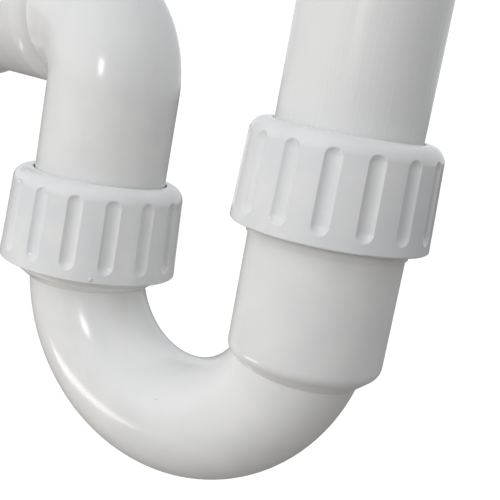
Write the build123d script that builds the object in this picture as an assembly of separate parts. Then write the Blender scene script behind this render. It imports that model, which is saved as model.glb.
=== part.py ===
from build123d import *
import os
from math import atan2, degrees

# A swivel P-trap for a basin or sink, in 40 mm (1 1/2 in) waste tube, in millimetres.
# Origin: centre of the waste nut's mouth, on the inlet axis.  +Z is up, and the outlet
# leg stands on the -X side, so the U-bend lies in the XZ plane.

# ---- Tubes -------------------------------------------------------------------------
tube_diameter = 40.0            # outside of the inlet tube, the elbow and the waste pipe
tube_wall = 1.9
bend_diameter = 35.6            # outside of the U-bend
bend_wall = 1.8
tube_end_chamfer = 0.8

# ---- Layout, with heights above the centre of the U-bend ---------------------------
leg_spacing = 79.2              # inlet axis to outlet axis
bend_depth = 130.0              # waste nut's mouth to the centre of the U-bend
inlet_nut_rise = 25.7           # mouth of the inlet nut
outlet_nut_rise = -3.55         # mouth of the outlet nut
inlet_tube_rise = 18.0          # lower end of the telescopic inlet tube
outlet_ledge_gap = 0.8          # elbow's lower end above its ledge
sleeve_end_rise = -9.7          # lower end of the long inlet sleeve
sleeve_ledge_rise = -5.0        # bottom of the sleeve's bore
arm_rise = 71.55                # axis of the elbow's arm
elbow_radius = tube_diameter / 2 + 0.4    # centreline of the elbow
arm_angle = 16.1                # the arm stands this far out of the bend's plane
arm_nut_distance = 83.0         # outlet axis to the mouth of the pipe nut

# ---- Sockets that the tubes slide into ---------------------------------------------
socket_clearance = 0.3          # radial, tube to socket
sleeve_wall = 1.3
socket_wall = 1.9               # under the thread
arm_socket_wall = 2.8
arm_shoulder_start = elbow_radius + 2.2   # along the arm, from the outlet axis
arm_shoulder_end = elbow_radius + 7.5
arm_ledge_distance = elbow_radius + 8.1
inlet_collar_base = -2.8        # lower end of the inlet collar, from its nut's mouth
outlet_collar_base = -2.2       # the same for the outlet and the arm
collar_top = 21.4               # rim of each collar, from its nut's mouth
cone_depth = 10.0               # deep enough to end inside the bend
sleeve_cone_slope = 1.15        # radius lost for each mm down, under the sleeve
sleeve_edge_radius = 4.0
outlet_cone_slope = 1.36        # the same, under the outlet collar
outlet_cone_gap = 0.45          # plain band between that collar and its cone
outlet_edge_radius = 0.8
seat_depth = 5.0
seat_mouth_clearance = 0.5      # lip left round the mouth of the tapered seat
seat_taper = 0.8                # how much the seat closes in, on the radius

# ---- Coarse thread of the three compression joints ---------------------------------
thread_pitch = 3.5
thread_depth = 1.3
thread_crest_width = 0.9
thread_root_width = 2.0
thread_start = 3.5              # above the nut's mouth
thread_turns = 4.0
nut_thread_turns = 3.0
thread_clearance = 0.3          # radial
flank_clearance = 0.25          # along the axis, each side
thread_sink = 0.2               # how far a ridge is rooted in its wall

# ---- Pipe thread of the sink waste, size 1 1/2 -------------------------------------
waste_thread_major = tube_diameter + 7.8
waste_thread_minor = waste_thread_major - 2.95
waste_thread_pitch = 2.309
waste_thread_crest_width = 0.5
waste_thread_root_width = 1.8
waste_thread_start = 3.9
waste_thread_turns = 3.25

# ---- Nuts --------------------------------------------------------------------------
nut_height = 28.0
waste_nut_height = 22.0
nut_mouth_diameter = tube_diameter + 14.4
nut_crown_diameter = nut_mouth_diameter - 2.4
nut_shoulder_radius = 4.6
nut_edge_radius = 0.5
nut_end_wall = 2.8
nut_hole_clearance = 0.6        # radial, round the tube
nut_pilot_clearance = 0.4       # plain mouth, outside the thread's root
nut_pilot_length = 2.5
nut_bore_margin = 0.3           # plain bore above the thread, round the slip ring
flute_count = 15
flute_width = 4.7
flute_depth = 1.1
flute_low_margin = 3.1          # plain band under the flutes
flute_high_margin = 3.0         # plain band over them
flute_edge_radius = 0.35
waste_flute_phase = 12.0        # angle of a nut's first flute
inlet_flute_phase = 1.0
outlet_flute_phase = 7.3
pipe_flute_phase = 12.0

# ---- Seals -------------------------------------------------------------------------
seal_gap = 0.1                  # between a seal and what it rests on
seal_bore_clearance = 0.08      # radial, round the tube
washer_head_height = 2.0
washer_head_overhang = 0.4      # head beyond the seat's mouth
slip_ring_thickness = 1.5
flange_thickness = 3.0
flange_diameter = tube_diameter + 4.0
flange_play = 0.3               # waste nut's end wall to the flange
waste_washer_thickness = 3.0
waste_washer_bore = tube_diameter - 2.8

# ---- Worked out from the sizes above -----------------------------------------------
tube_radius = tube_diameter / 2
tube_bore = tube_radius - tube_wall
bend_radius = bend_diameter / 2
bend_bore = bend_radius - bend_wall
socket_bore = tube_radius + socket_clearance
sleeve_radius = socket_bore + sleeve_wall
collar_radius = socket_bore + socket_wall
arm_socket_radius = socket_bore + arm_socket_wall
seat_mouth_radius = collar_radius - seat_mouth_clearance
seat_floor_radius = seat_mouth_radius - seat_taper
washer_head_radius = seat_mouth_radius + washer_head_overhang
washer_head_low = collar_top + seal_gap
slip_ring_low = washer_head_low + washer_head_height + seal_gap
nut_inner_height = slip_ring_low + slip_ring_thickness + seal_gap
nut_hole_radius = tube_radius + nut_hole_clearance
seal_bore = tube_radius + seal_bore_clearance
centre_height = -bend_depth
outlet_x = -leg_spacing
thread_slope = (thread_root_width - thread_crest_width) / thread_depth


def turned(*points):
    """A solid turned about the Z axis from (radius, height) points."""
    return revolve(Plane.XZ * Polygon(*points, align=None), Axis.Z)


def rod(radius, low, high):
    """A solid cylinder on the Z axis between two heights."""
    return Pos(0, 0, low) * Cylinder(radius, high - low, align=(Align.CENTER, Align.CENTER, Align.MIN))


def helical_ridge(root_radius, crest_radius, root_width, crest_width, pitch, start, turns):
    """A right-hand thread ridge on the Z axis, rooted a little way into its wall."""
    outward = 1 if crest_radius > root_radius else -1
    rooted_radius = root_radius - outward * thread_sink
    slope = (root_width - crest_width) / abs(crest_radius - root_radius)
    rooted_width = root_width + slope * thread_sink

    def helix(radius, offset):
        return Pos(0, 0, start + offset) * Helix(pitch, pitch * turns, radius).edge()

    corners = [
        helix(rooted_radius, -rooted_width / 2),
        helix(rooted_radius, rooted_width / 2),
        helix(crest_radius, crest_width / 2),
        helix(crest_radius, -crest_width / 2),
    ]
    flanks = [Face.make_surface_from_curves(corners[i - 1], corners[i]) for i in range(4)]
    ends = [Face(Wire.make_polygon([edge @ end for edge in corners], close=True)) for end in (0, 1)]
    return Solid(Shell(flanks + ends))


def collar_thread():
    """The coarse male thread on a socket's collar."""
    return helical_ridge(
        collar_radius,
        collar_radius + thread_depth,
        thread_root_width,
        thread_crest_width,
        thread_pitch,
        thread_start,
        thread_turns,
    )


def nut_thread():
    """The coarse female thread, which fills the male thread's groove less the clearances."""
    crest_radius = collar_radius + thread_clearance
    root_radius = collar_radius + thread_depth + thread_clearance

    def width(radius):
        ridge = thread_root_width - (radius - collar_radius) * thread_slope
        return thread_pitch - ridge - 2 * flank_clearance

    return helical_ridge(
        root_radius,
        crest_radius,
        width(root_radius),
        width(crest_radius),
        thread_pitch,
        thread_start + thread_pitch / 2,
        nut_thread_turns,
    )


def flute_cutter(height):
    """A ball-ended bar that lies along the nut's sloping side."""
    half_width = flute_width / 2
    bar_radius = (half_width**2 + flute_depth**2) / (2 * flute_depth)
    end_reach = half_width
    low = flute_low_margin + end_reach
    high = height - flute_high_margin - end_reach
    slope = (nut_mouth_diameter - nut_crown_diameter) / 2 / height
    middle = (low + high) / 2
    distance = nut_mouth_diameter / 2 - slope * middle - flute_depth + bar_radius
    half_length = (high - low) / 2
    bar = rod(bar_radius, -half_length, half_length)
    bar += Pos(0, 0, half_length) * Sphere(bar_radius)
    bar += Pos(0, 0, -half_length) * Sphere(bar_radius)
    lean = degrees(atan2(slope, 1))
    return Pos(distance, 0, middle) * Rot(0, -lean, 0) * bar


def fluted_nut(height, inner_height, hollow, flute_phase):
    """A nut with its mouth at height 0.  It tapers to a rounded crown with a hole for the tube."""
    mouth = nut_mouth_diameter / 2
    crown = nut_crown_diameter / 2
    profile = Plane.XZ * Polygon((0, 0), (mouth, 0), (crown, height), (0, height), align=None)
    crown_corner = profile.vertices().sort_by_distance((crown, 0, height))[0]
    profile = fillet(crown_corner, nut_shoulder_radius)
    mouth_corner = profile.vertices().sort_by_distance((mouth, 0, 0))[0]
    profile = fillet(mouth_corner, nut_edge_radius)
    nut = revolve(profile, Axis.Z)
    cutter = flute_cutter(height)
    for index in range(flute_count):
        nut -= Rot(0, 0, flute_phase + index * 360 / flute_count) * cutter
    rims = nut.edges().filter_by(GeomType.BSPLINE)
    nut = fillet(rims, flute_edge_radius)
    nut -= hollow
    nut -= rod(nut_hole_radius, inner_height - 1, height + 1)
    hole_edge = nut.edges().filter_by(GeomType.CIRCLE).sort_by_distance((nut_hole_radius, 0, height))[0]
    return fillet(hole_edge, nut_edge_radius / 2)


def compression_nut(flute_phase):
    """One of the three nuts that squeeze a cone washer on to a tube."""
    root_radius = collar_radius + thread_depth + thread_clearance
    bore_radius = washer_head_radius + nut_bore_margin
    pilot_radius = root_radius + nut_pilot_clearance
    hollow = rod(pilot_radius, -1, nut_pilot_length)
    hollow += rod(root_radius, 0, collar_top)
    hollow += rod(bore_radius, 0, nut_inner_height)
    return fluted_nut(nut_height, nut_inner_height, hollow, flute_phase) + nut_thread()


def make_waste_nut():
    """The nut that holds the trap to the sink waste, mouth up, with its end wall under the flange."""
    root_radius = waste_thread_major / 2
    inner_height = waste_nut_height - nut_end_wall
    hollow = rod(root_radius + nut_pilot_clearance, -1, nut_pilot_length)
    hollow += rod(root_radius, 0, inner_height)
    nut = fluted_nut(waste_nut_height, inner_height, hollow, waste_flute_phase)
    nut += helical_ridge(
        root_radius,
        waste_thread_minor / 2,
        waste_thread_root_width,
        waste_thread_crest_width,
        waste_thread_pitch,
        waste_thread_start,
        waste_thread_turns,
    )
    return Rot(180, 0, 0) * nut


# Heights of the pieces inside the waste nut, from the waste nut's mouth down.
flange_low = -(waste_nut_height - nut_end_wall - flange_play)
flange_high = flange_low + flange_thickness
waste_washer_high = flange_high + waste_washer_thickness


def make_waste_washer():
    """The flat washer that the sink waste's end face seals on."""
    outer = flange_diameter / 2
    inner = waste_washer_bore / 2
    return turned(
        (inner, flange_high),
        (outer, flange_high),
        (outer, waste_washer_high),
        (inner, waste_washer_high),
    )


def make_inlet_tube():
    """The telescopic inlet tube, with the flange that the waste nut pulls up."""
    low = centre_height + inlet_tube_rise
    tube = rod(tube_radius, low, flange_high) + rod(flange_diameter / 2, flange_low, flange_high)
    tube -= rod(tube_bore, low - 1, flange_high + 1)
    rim = tube.edges().filter_by(GeomType.CIRCLE).sort_by_distance((tube_radius, 0, low))[0]
    return chamfer(rim, tube_end_chamfer)


def socket_collar(base):
    """The outside of a threaded socket, with its nut's mouth at height 0."""
    return rod(collar_radius, base, collar_top) + collar_thread()


def socket_hollow(ledge):
    """The bore of a socket down to its ledge, with the tapered seat for the cone washer."""
    seat_floor = collar_top - seat_depth
    seat = turned(
        (0, seat_floor),
        (seat_floor_radius, seat_floor),
        (seat_mouth_radius, collar_top),
        (seat_mouth_radius, collar_top + 1),
        (0, collar_top + 1),
    )
    return rod(socket_bore, ledge, collar_top + 1) + seat


def cone_washer():
    """A rubber washer that wedges between a tube and the socket's tapered seat."""
    seat_floor = collar_top - seat_depth
    return turned(
        (seal_bore, seat_floor + seal_gap),
        (seat_floor_radius - seal_gap, seat_floor + seal_gap),
        (seat_mouth_radius - seal_gap, washer_head_low),
        (washer_head_radius, washer_head_low),
        (washer_head_radius, washer_head_low + washer_head_height),
        (seal_bore, washer_head_low + washer_head_height),
    )


def slip_ring():
    """The thin ring that lets the nut turn without dragging the cone washer round."""
    high = slip_ring_low + slip_ring_thickness
    return turned(
        (socket_bore, slip_ring_low),
        (washer_head_radius, slip_ring_low),
        (washer_head_radius, high),
        (socket_bore, high),
    )


def half_turn(radius):
    """A half ring of round bar that hangs from the inlet axis round to the outlet axis."""
    start = Plane((0, 0, centre_height), z_dir=(0, 0, 1)) * Circle(radius)
    return revolve(start, Axis((outlet_x / 2, 0, centre_height), (0, 1, 0)), 180)


def socket_body(radius, low, high, cone_slope, edge_radius):
    """The outside of a plain socket, with a cone under it that runs down into the bend."""
    cone_low = low - cone_depth
    cone_end_radius = radius - cone_slope * cone_depth
    outline = ((0, cone_low), (cone_end_radius, cone_low), (radius, low), (radius, high), (0, high))
    profile = Plane.XZ * Polygon(*outline, align=None)
    corner = profile.vertices().sort_by_distance((radius, 0, low))[0]
    return revolve(fillet(corner, edge_radius), Axis.Z)


# The three compression joints, each with height 0 at its nut's mouth.
inlet_joint = Pos(0, 0, centre_height + inlet_nut_rise)
outlet_joint = Pos(outlet_x, 0, centre_height + outlet_nut_rise)
arm_frame = Pos(outlet_x, 0, centre_height + arm_rise) * Rot(0, 0, -arm_angle) * Rot(0, -90, 0)
arm_joint = arm_frame * Pos(0, 0, arm_nut_distance)


def make_trap_bend():
    """The U-bend, with the long inlet sleeve and the short outlet socket moulded on."""
    sleeve_end = sleeve_end_rise - inlet_nut_rise
    outlet_cone_start = outlet_collar_base - outlet_cone_gap
    bend = half_turn(bend_radius)
    bend += inlet_joint * socket_body(
        sleeve_radius, sleeve_end, 0, sleeve_cone_slope, sleeve_edge_radius
    )
    bend += outlet_joint * socket_body(
        sleeve_radius, outlet_cone_start, 0, outlet_cone_slope, outlet_edge_radius
    )
    bend += inlet_joint * socket_collar(inlet_collar_base)
    bend += outlet_joint * socket_collar(outlet_collar_base)
    bend -= half_turn(bend_bore)
    bend -= inlet_joint * socket_hollow(sleeve_ledge_rise - inlet_nut_rise)
    bend -= outlet_joint * socket_hollow(-outlet_nut_rise)
    return bend


def make_outlet_elbow():
    """The riser, the tight elbow and the arm with its socket for the waste pipe."""
    riser_low = centre_height + outlet_ledge_gap
    riser_high = centre_height + arm_rise - elbow_radius
    pivot = Axis((-elbow_radius, 0, riser_high), (0, -1, 0))
    start = Plane((0, 0, riser_high), z_dir=(0, 0, 1))
    arm = Pos(-elbow_radius, 0, centre_height + arm_rise) * Rot(0, -90, 0)
    arm_socket_length = arm_nut_distance - elbow_radius

    # Lengths along the arm here run from the end of the elbow's quarter turn.
    shoulder_start = arm_shoulder_start - elbow_radius
    shoulder_end = arm_shoulder_end - elbow_radius
    with BuildSketch(Plane.XZ) as shoulder:
        with BuildLine():
            Polyline((0, shoulder_end), (0, shoulder_start), (tube_radius, shoulder_start))
            TangentArc(
                (arm_socket_radius, shoulder_end), (tube_radius, shoulder_start), tangent=(0, -1)
            )
            Line((arm_socket_radius, shoulder_end), (0, shoulder_end))
        make_face()

    elbow = rod(tube_radius, riser_low, riser_high)
    elbow += revolve(start * Circle(tube_radius), pivot, 90)
    elbow += arm * rod(tube_radius, 0, shoulder_end)
    elbow += arm * revolve(shoulder.sketch, Axis.Z)
    elbow += arm * rod(arm_socket_radius, shoulder_end, arm_socket_length + outlet_collar_base)
    elbow += arm * rod(collar_radius, shoulder_end, arm_socket_length)
    elbow += arm * Pos(0, 0, arm_socket_length) * socket_collar(outlet_collar_base)

    elbow -= rod(tube_bore, riser_low - 1, riser_high)
    elbow -= revolve(start * Circle(tube_bore), pivot, 90)
    elbow -= arm * rod(tube_bore, 0, arm_ledge_distance - elbow_radius)
    elbow -= arm * Pos(0, 0, arm_socket_length) * socket_hollow(arm_ledge_distance - arm_nut_distance)
    rim = elbow.edges().filter_by(GeomType.CIRCLE).sort_by_distance((tube_radius, 0, riser_low))[0]
    elbow = chamfer(rim, tube_end_chamfer)
    return Pos(outlet_x, 0, 0) * Rot(0, 0, -arm_angle) * elbow


parts = {
    "waste_nut": make_waste_nut(),
    "waste_washer": make_waste_washer(),
    "inlet_tube": make_inlet_tube(),
    "inlet_nut": inlet_joint * compression_nut(inlet_flute_phase),
    "inlet_slip_ring": inlet_joint * slip_ring(),
    "inlet_cone_washer": inlet_joint * cone_washer(),
    "trap_bend": make_trap_bend(),
    "outlet_nut": outlet_joint * compression_nut(outlet_flute_phase),
    "outlet_slip_ring": outlet_joint * slip_ring(),
    "outlet_cone_washer": outlet_joint * cone_washer(),
    "outlet_elbow": make_outlet_elbow(),
    "pipe_nut": arm_joint * compression_nut(pipe_flute_phase),
    "pipe_slip_ring": arm_joint * slip_ring(),
    "pipe_cone_washer": arm_joint * cone_washer(),
}

os.makedirs("parts", exist_ok=True)
for name, shape in parts.items():
    export_step(shape, f"parts/{name}.step")
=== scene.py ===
import math
import bpy
from mathutils import Matrix, Vector


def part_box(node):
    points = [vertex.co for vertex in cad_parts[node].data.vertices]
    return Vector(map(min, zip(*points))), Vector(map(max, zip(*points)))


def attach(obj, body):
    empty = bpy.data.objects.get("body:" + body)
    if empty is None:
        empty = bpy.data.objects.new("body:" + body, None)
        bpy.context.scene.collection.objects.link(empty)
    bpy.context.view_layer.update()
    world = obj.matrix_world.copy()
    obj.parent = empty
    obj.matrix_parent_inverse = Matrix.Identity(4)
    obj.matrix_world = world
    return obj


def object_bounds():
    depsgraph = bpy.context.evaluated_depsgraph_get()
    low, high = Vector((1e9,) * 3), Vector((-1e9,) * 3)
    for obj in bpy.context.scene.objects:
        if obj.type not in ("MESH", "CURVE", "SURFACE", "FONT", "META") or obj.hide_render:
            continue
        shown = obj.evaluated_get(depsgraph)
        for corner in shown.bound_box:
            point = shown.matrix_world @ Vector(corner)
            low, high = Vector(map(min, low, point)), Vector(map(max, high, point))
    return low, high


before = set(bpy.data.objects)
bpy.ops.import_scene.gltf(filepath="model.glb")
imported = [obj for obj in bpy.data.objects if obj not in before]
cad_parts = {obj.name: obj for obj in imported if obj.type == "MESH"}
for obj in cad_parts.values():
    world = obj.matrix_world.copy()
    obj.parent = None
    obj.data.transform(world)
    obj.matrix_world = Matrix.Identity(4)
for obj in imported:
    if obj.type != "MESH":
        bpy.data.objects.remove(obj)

cad_box = [list(corner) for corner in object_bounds()]
MM = 0.001


# ---- Camera --------------------------------------------------------------------------
# A hand-held camera a little above the trap and to the right of its bend plane, tipped
# so that the trap leans to the right.  A short telephoto, close enough for perspective.
camera_azimuth = math.radians(28.65)
camera_elevation = math.radians(11.06)
camera_roll = math.radians(10.43)
camera_distance = 271.3 * MM
camera_lens = 69.0
inlet_nut_rise = 25.7 * MM
look_offset = Vector((16.79, 0, 14.93)) * MM

inlet_low, inlet_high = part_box("inlet_nut")
outlet_low, outlet_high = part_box("outlet_nut")
inlet_axis = (Vector(inlet_low) + Vector(inlet_high)) / 2
outlet_axis = (Vector(outlet_low) + Vector(outlet_high)) / 2
bend_centre = Vector(((inlet_axis.x + outlet_axis.x) / 2, 0, inlet_low[2] - inlet_nut_rise))
target = bend_centre + look_offset

back = Vector((
    math.sin(camera_azimuth) * math.cos(camera_elevation),
    -math.cos(camera_azimuth) * math.cos(camera_elevation),
    math.sin(camera_elevation),
))
level_right = Vector((0, 0, 1)).cross(back).normalized()
level_up = back.cross(level_right)
right = level_right * math.cos(camera_roll) + level_up * math.sin(camera_roll)
up = level_up * math.cos(camera_roll) - level_right * math.sin(camera_roll)
camera_place = target + back * camera_distance
camera_data = bpy.data.cameras.new("camera")
camera_data.lens = camera_lens
camera_data.sensor_width = 36
camera_data.clip_start = 0.01
camera = bpy.data.objects.new("camera", camera_data)
camera_turn = Matrix((right, up, back)).transposed().to_4x4()
camera.matrix_world = Matrix.Translation(camera_place) @ camera_turn
bpy.context.scene.collection.objects.link(camera)
bpy.context.scene.camera = camera
bpy.context.scene.view_settings.view_transform = "Standard"


def linear(hex_colour):
    """An sRGB hex colour as Blender's linear red, green, blue and alpha."""
    def channel(text):
        value = int(text, 16) / 255
        return value / 12.92 if value <= 0.04045 else ((value + 0.055) / 1.055) ** 2.4
    return [channel(hex_colour[i:i + 2]) for i in (1, 3, 5)] + [1.0]


def dress(names, material):
    """Give each of the named CAD pieces this material and no other."""
    for name in names:
        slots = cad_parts[name].data.materials
        slots.clear()
        slots.append(material)


def add_node(tree, kind, settings, links):
    """A node with its options and socket values set, and its inputs joined to other outputs."""
    node = tree.nodes.new(kind)
    for name, value in settings.items():
        if name in node.inputs:
            node.inputs[name].default_value = value
        else:
            setattr(node, name, value)
    for name, output in links.items():
        tree.links.new(output, node.inputs[name])
    return node


# ---- Studio --------------------------------------------------------------------------
# A white tent.  The sweep and the floor look pure white, the tent's cloth lights the trap
# evenly, and the floor throws a soft, slightly warm light up on to its undersides.
backdrop_strength = 1.05        # just past white
floor_gap = 100 * MM            # below the trap
floor_size = 30
world = bpy.data.worlds.new("studio")
bpy.context.scene.world = world
world.use_nodes = True
tent = world.node_tree
tent.nodes.remove(tent.nodes["Background"])
seen = add_node(tent, "ShaderNodeLightPath", {}, {})
cloth = add_node(tent, "ShaderNodeBackground", {"Color": linear("#f6f8ff"), "Strength": 0.44}, {})
gleam = add_node(tent, "ShaderNodeBackground", {"Color": linear("#f9fbff"), "Strength": 0.85}, {})
sweep = add_node(tent, "ShaderNodeBackground", {"Color": linear("#ffffff"),
                                                 "Strength": backdrop_strength}, {})
inner_mix = add_node(tent, "ShaderNodeMixShader", {}, {"Fac": seen.outputs["Is Glossy Ray"]})
tent.links.new(cloth.outputs["Background"], inner_mix.inputs[1])
tent.links.new(gleam.outputs["Background"], inner_mix.inputs[2])
outer_mix = add_node(tent, "ShaderNodeMixShader", {}, {"Fac": seen.outputs["Is Camera Ray"]})
tent.links.new(inner_mix.outputs["Shader"], outer_mix.inputs[1])
tent.links.new(sweep.outputs["Background"], outer_mix.inputs[2])
tent.links.new(outer_mix.outputs["Shader"], tent.nodes["World Output"].inputs["Surface"])

bpy.ops.mesh.primitive_plane_add(size=floor_size, location=(0, 0, cad_box[0][2] - floor_gap))
floor = bpy.context.object
floor.name = "floor"
floor_finish = bpy.data.materials.new("backlit_white_board")
floor_finish.use_nodes = True
board = floor_finish.node_tree
board.nodes.remove(board.nodes["Principled BSDF"])
board_seen = add_node(board, "ShaderNodeLightPath", {}, {})
board_face = add_node(board, "ShaderNodeBsdfDiffuse", {"Color": linear("#aca8a2")}, {})
board_glow = add_node(board, "ShaderNodeEmission", {"Color": linear("#ffffff"),
                                                    "Strength": backdrop_strength}, {})
board_mix = add_node(board, "ShaderNodeMixShader", {}, {"Fac": board_seen.outputs["Is Camera Ray"]})
board.links.new(board_face.outputs["BSDF"], board_mix.inputs[1])
board.links.new(board_glow.outputs["Emission"], board_mix.inputs[2])
board.links.new(board_mix.outputs["Shader"], board.nodes["Material Output"].inputs["Surface"])
floor.data.materials.append(floor_finish)


def soft_box(name, azimuth, elevation, distance, width, height, power, tint):
    """A rectangular lamp aimed at the trap.  Azimuth is from -Y towards +X, in degrees."""
    level = math.cos(math.radians(elevation))
    direction = Vector((
        math.sin(math.radians(azimuth)) * level,
        -math.cos(math.radians(azimuth)) * level,
        math.sin(math.radians(elevation)),
    ))
    data = bpy.data.lights.new(name, "AREA")
    data.shape = "RECTANGLE"
    data.size = width
    data.size_y = height
    data.energy = power
    data.color = linear(tint)[:3]
    lamp = bpy.data.objects.new(name, data)
    lamp.location = bend_centre + direction * distance
    lamp.rotation_mode = "QUATERNION"
    lamp.rotation_quaternion = direction.to_track_quat("Z", "Y")
    bpy.context.scene.collection.objects.link(lamp)
    return lamp


# The key and the fill are kept out of the gloss, as if their light came through the cloth.
# The window and the low strip do show in it, as bright marks.
key = soft_box("key", azimuth=-20, elevation=28, distance=1.2, width=1.0, height=1.0,
               power=6.9, tint="#fdfdff")
key.visible_glossy = False
fill = soft_box("fill", azimuth=155, elevation=35, distance=1.3, width=1.0, height=1.0,
                power=3.4, tint="#fafcff")
fill.visible_glossy = False
soft_box("window", azimuth=11.3, elevation=14.5, distance=1.5, width=0.2, height=0.24,
         power=2.6, tint="#ffffff")
soft_box("low_strip", azimuth=-50, elevation=-33, distance=0.26, width=0.13, height=0.034,
         power=0.08, tint="#fffaf2")


# ---- U-bend and elbow ----------------------------------------------------------------
# Injection-moulded white polypropylene, glossy from a polished mould.  The eye sees faint
# clouds where the melt flowed, a very soft ripple in the gloss, and a few specks of dust.
moulded = bpy.data.materials.new("injection_moulded_gloss_polypropylene")
moulded.use_nodes = True
tree = moulded.node_tree
place = add_node(tree, "ShaderNodeTexCoord", {}, {})
flow = add_node(tree, "ShaderNodeTexNoise", {"Scale": 1 / (18 * MM), "Detail": 3.0, "Distortion": 0.6},
                {"Vector": place.outputs["Object"]})
clouds = add_node(tree, "ShaderNodeValToRGB", {}, {"Fac": flow.outputs["Fac"]})
clouds.color_ramp.elements[0].position = 0.3
clouds.color_ramp.elements[0].color = linear("#e6e7e5")
clouds.color_ramp.elements[1].position = 0.7
clouds.color_ramp.elements[1].color = linear("#eeeeeb")
dust_cell = 12 * MM
dust_radius = 0.22 * MM
grains = add_node(tree, "ShaderNodeTexVoronoi", {"Scale": 1 / dust_cell},
                  {"Vector": place.outputs["Object"]})
specks = add_node(tree, "ShaderNodeValToRGB", {}, {"Fac": grains.outputs["Distance"]})
specks.color_ramp.elements[0].position = dust_radius / dust_cell / 2
specks.color_ramp.elements[0].color = (0.5, 0.5, 0.5, 1)
specks.color_ramp.elements[1].position = dust_radius / dust_cell
specks.color_ramp.elements[1].color = (0, 0, 0, 1)
skin = add_node(tree, "ShaderNodeMixRGB", {"Color2": linear("#8c8778")},
                {"Fac": specks.outputs["Color"], "Color1": clouds.outputs["Color"]})
gloss_patches = add_node(tree, "ShaderNodeTexNoise", {"Scale": 1 / (9 * MM), "Detail": 2.0},
                         {"Vector": place.outputs["Object"]})
gloss = add_node(tree, "ShaderNodeMapRange", {"To Min": 0.13, "To Max": 0.21},
                 {"Value": gloss_patches.outputs["Fac"]})
ripple = add_node(tree, "ShaderNodeTexNoise", {"Scale": 1 / (14 * MM), "Detail": 1.0},
                  {"Vector": place.outputs["Object"]})
ripple_relief = add_node(tree, "ShaderNodeBump", {"Distance": 0.03 * MM},
                         {"Height": ripple.outputs["Fac"]})
peel = add_node(tree, "ShaderNodeTexNoise", {"Scale": 1 / (1.6 * MM), "Detail": 2.0},
                {"Vector": place.outputs["Object"]})
peel_relief = add_node(tree, "ShaderNodeBump", {"Distance": 0.004 * MM},
                       {"Height": peel.outputs["Fac"], "Normal": ripple_relief.outputs["Normal"]})
shader = tree.nodes["Principled BSDF"]
shader.inputs["IOR"].default_value = 1.49
tree.links.new(skin.outputs["Color"], shader.inputs["Base Color"])
tree.links.new(gloss.outputs["Result"], shader.inputs["Roughness"])
tree.links.new(peel_relief.outputs["Normal"], shader.inputs["Normal"])
dress(("trap_bend", "outlet_elbow"), moulded)


# ---- Nuts ----------------------------------------------------------------------------
# The same polypropylene from a mould that is spark-eroded, not polished: a little less
# glossy, with a fine even grain and light scuffs where hands and tools have gripped.
nut_plastic = bpy.data.materials.new("injection_moulded_satin_polypropylene")
nut_plastic.use_nodes = True
tree = nut_plastic.node_tree
place = add_node(tree, "ShaderNodeTexCoord", {}, {})
tint = add_node(tree, "ShaderNodeTexNoise", {"Scale": 1 / (11 * MM), "Detail": 3.0},
                {"Vector": place.outputs["Object"]})
shade = add_node(tree, "ShaderNodeValToRGB", {}, {"Fac": tint.outputs["Fac"]})
shade.color_ramp.elements[0].position = 0.3
shade.color_ramp.elements[0].color = linear("#e4e6e6")
shade.color_ramp.elements[1].position = 0.7
shade.color_ramp.elements[1].color = linear("#ededeb")
scuff_lines = add_node(tree, "ShaderNodeMapping", {"Scale": (1, 1, 0.12), "Rotation": (0.5, 0.3, 0)},
                       {"Vector": place.outputs["Object"]})
scuffs = add_node(tree, "ShaderNodeTexNoise",
                  {"Scale": 1 / (0.9 * MM), "Detail": 4.0, "Roughness": 0.7},
                  {"Vector": scuff_lines.outputs["Vector"]})
scuffed_gloss = add_node(tree, "ShaderNodeMapRange",
                         {"From Min": 0.55, "From Max": 0.8, "To Min": 0.14, "To Max": 0.26},
                         {"Value": scuffs.outputs["Fac"]})
grain = add_node(tree, "ShaderNodeTexNoise", {"Scale": 1 / (0.4 * MM), "Detail": 2.0},
                 {"Vector": place.outputs["Object"]})
grain_relief = add_node(tree, "ShaderNodeBump", {"Distance": 0.003 * MM},
                        {"Height": grain.outputs["Fac"]})
shader = tree.nodes["Principled BSDF"]
shader.inputs["IOR"].default_value = 1.49
tree.links.new(shade.outputs["Color"], shader.inputs["Base Color"])
tree.links.new(scuffed_gloss.outputs["Result"], shader.inputs["Roughness"])
tree.links.new(grain_relief.outputs["Normal"], shader.inputs["Normal"])
dress(("waste_nut", "inlet_nut", "outlet_nut", "pipe_nut"), nut_plastic)


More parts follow.
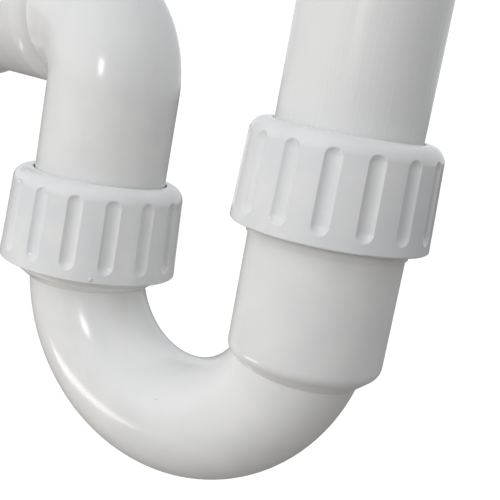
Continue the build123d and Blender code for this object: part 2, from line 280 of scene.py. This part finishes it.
# ---- Gate marks of the nuts ------------------------------------------------------------
# Three of the nuts have a small stub at the edge of the mouth, where the melt came in and
# the runner was snapped off: a low boss of the nut's own plastic, well rounded all over.
gate_radius = 0.6 * MM
gate_height = 0.5 * MM          # each side of the middle
gate_rounding = 0.35 * MM
gate_sink = 0.25 * MM           # how far its middle lies inside the nut's side
gate_margin = 1.3 * MM          # from the edge of the mouth
nut_radius = 27.2 * MM
gate_sites = {                  # angle about the nut's axis, and 1 where the mouth is down
    "outlet_nut": (math.radians(-48.7), 1),
    "inlet_nut": (math.radians(131.3), 1),
    "waste_nut": (math.radians(-150), -1),
}
for nut, (angle, mouth_side) in gate_sites.items():
    nut_low, nut_high = (Vector(corner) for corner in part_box(nut))
    edge_height = nut_low.z if mouth_side == 1 else nut_high.z
    outward = Vector((math.cos(angle), math.sin(angle), 0))
    site = (nut_low + nut_high) / 2 + outward * (nut_radius - gate_sink)
    site.z = edge_height + mouth_side * gate_margin
    bpy.ops.object.select_all(action="DESELECT")
    bpy.ops.mesh.primitive_cylinder_add(vertices=32, radius=gate_radius, depth=gate_height * 2)
    gate = bpy.context.object
    gate.name = f"{nut}_gate_mark"
    bpy.ops.object.mode_set(mode="EDIT")
    bpy.ops.mesh.select_all(action="SELECT")
    bpy.ops.mesh.bevel(offset=gate_rounding, segments=6, affect="EDGES")
    bpy.ops.object.mode_set(mode="OBJECT")
    gate.rotation_mode = "QUATERNION"
    gate.rotation_quaternion = outward.to_track_quat("Z", "Y")
    gate.location = site
    bpy.ops.object.transform_apply(location=True, rotation=True, scale=True)
    bpy.ops.object.shade_smooth_by_angle(angle=math.radians(35))
    gate.data.materials.append(nut_plastic)
    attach(gate, nut)


# ---- Inlet tube ------------------------------------------------------------------------
# Extruded white polypropylene with a welded-on flange.  The die leaves faint lines along
# the tube, and its gloss is lower than the moulded pieces'.
drawn = bpy.data.materials.new("extruded_polypropylene")
drawn.use_nodes = True
tree = drawn.node_tree
place = add_node(tree, "ShaderNodeTexCoord", {}, {})
long_lines = add_node(tree, "ShaderNodeMapping", {"Scale": (1, 1, 0.015)},
                      {"Vector": place.outputs["Object"]})
die_lines = add_node(tree, "ShaderNodeTexNoise", {"Scale": 1 / (0.8 * MM), "Detail": 3.0},
                     {"Vector": long_lines.outputs["Vector"]})
line_relief = add_node(tree, "ShaderNodeBump", {"Distance": 0.002 * MM},
                       {"Height": die_lines.outputs["Fac"]})
batch = add_node(tree, "ShaderNodeTexNoise", {"Scale": 1 / (25 * MM), "Detail": 2.0},
                 {"Vector": place.outputs["Object"]})
tube_colour = add_node(tree, "ShaderNodeValToRGB", {}, {"Fac": batch.outputs["Fac"]})
tube_colour.color_ramp.elements[0].color = linear("#e5e6e4")
tube_colour.color_ramp.elements[1].color = linear("#efefec")
tube_gloss = add_node(tree, "ShaderNodeMapRange", {"To Min": 0.2, "To Max": 0.32},
                      {"Value": die_lines.outputs["Fac"]})
shader = tree.nodes["Principled BSDF"]
shader.inputs["IOR"].default_value = 1.49
tree.links.new(tube_colour.outputs["Color"], shader.inputs["Base Color"])
tree.links.new(tube_gloss.outputs["Result"], shader.inputs["Roughness"])
tree.links.new(line_relief.outputs["Normal"], shader.inputs["Normal"])
dress(("inlet_tube",), drawn)


# ---- Slip rings ------------------------------------------------------------------------
# Moulded from undyed polyethylene: milky, waxy and half clear, with fine rub marks from
# the nut that slides round on it.
waxy = bpy.data.materials.new("natural_moulded_polyethylene")
waxy.use_nodes = True
tree = waxy.node_tree
place = add_node(tree, "ShaderNodeTexCoord", {}, {})
milk = add_node(tree, "ShaderNodeTexNoise", {"Scale": 1 / (4 * MM), "Detail": 3.0},
                {"Vector": place.outputs["Object"]})
milk_colour = add_node(tree, "ShaderNodeValToRGB", {}, {"Fac": milk.outputs["Fac"]})
milk_colour.color_ramp.elements[0].color = linear("#cfd1c8")
milk_colour.color_ramp.elements[1].color = linear("#dfe0d8")
rubs = add_node(tree, "ShaderNodeTexNoise", {"Scale": 1 / (0.5 * MM), "Detail": 4.0, "Roughness": 0.7},
                {"Vector": place.outputs["Object"]})
rub_gloss = add_node(tree, "ShaderNodeMapRange", {"To Min": 0.35, "To Max": 0.5},
                     {"Value": rubs.outputs["Fac"]})
rub_relief = add_node(tree, "ShaderNodeBump", {"Distance": 0.006 * MM},
                      {"Height": rubs.outputs["Fac"]})
shader = tree.nodes["Principled BSDF"]
shader.inputs["IOR"].default_value = 1.51
shader.inputs["Subsurface Weight"].default_value = 0.3
shader.inputs["Subsurface Scale"].default_value = 1.5 * MM
tree.links.new(milk_colour.outputs["Color"], shader.inputs["Base Color"])
tree.links.new(rub_gloss.outputs["Result"], shader.inputs["Roughness"])
tree.links.new(rub_relief.outputs["Normal"], shader.inputs["Normal"])
dress(("inlet_slip_ring", "outlet_slip_ring", "pipe_slip_ring"), waxy)


# ---- Washers ---------------------------------------------------------------------------
# Compression-moulded black rubber: matt, with a fine pebbled skin and a greyish bloom
# of wax that has come to the surface in patches.
rubber = bpy.data.materials.new("compression_moulded_rubber")
rubber.use_nodes = True
tree = rubber.node_tree
place = add_node(tree, "ShaderNodeTexCoord", {}, {})
bloom = add_node(tree, "ShaderNodeTexNoise", {"Scale": 1 / (6 * MM), "Detail": 4.0},
                 {"Vector": place.outputs["Object"]})
bloom_colour = add_node(tree, "ShaderNodeValToRGB", {}, {"Fac": bloom.outputs["Fac"]})
bloom_colour.color_ramp.elements[0].position = 0.4
bloom_colour.color_ramp.elements[0].color = linear("#1a1a1b")
bloom_colour.color_ramp.elements[1].position = 0.75
bloom_colour.color_ramp.elements[1].color = linear("#333333")
bloom_gloss = add_node(tree, "ShaderNodeMapRange", {"To Min": 0.55, "To Max": 0.8},
                       {"Value": bloom.outputs["Fac"]})
pebbles = add_node(tree, "ShaderNodeTexNoise", {"Scale": 1 / (0.25 * MM), "Detail": 3.0},
                   {"Vector": place.outputs["Object"]})
pebble_relief = add_node(tree, "ShaderNodeBump", {"Distance": 0.012 * MM},
                         {"Height": pebbles.outputs["Fac"]})
shader = tree.nodes["Principled BSDF"]
shader.inputs["IOR"].default_value = 1.52
tree.links.new(bloom_colour.outputs["Color"], shader.inputs["Base Color"])
tree.links.new(bloom_gloss.outputs["Result"], shader.inputs["Roughness"])
tree.links.new(pebble_relief.outputs["Normal"], shader.inputs["Normal"])
dress(("waste_washer", "inlet_cone_washer", "outlet_cone_washer", "pipe_cone_washer"), rubber)
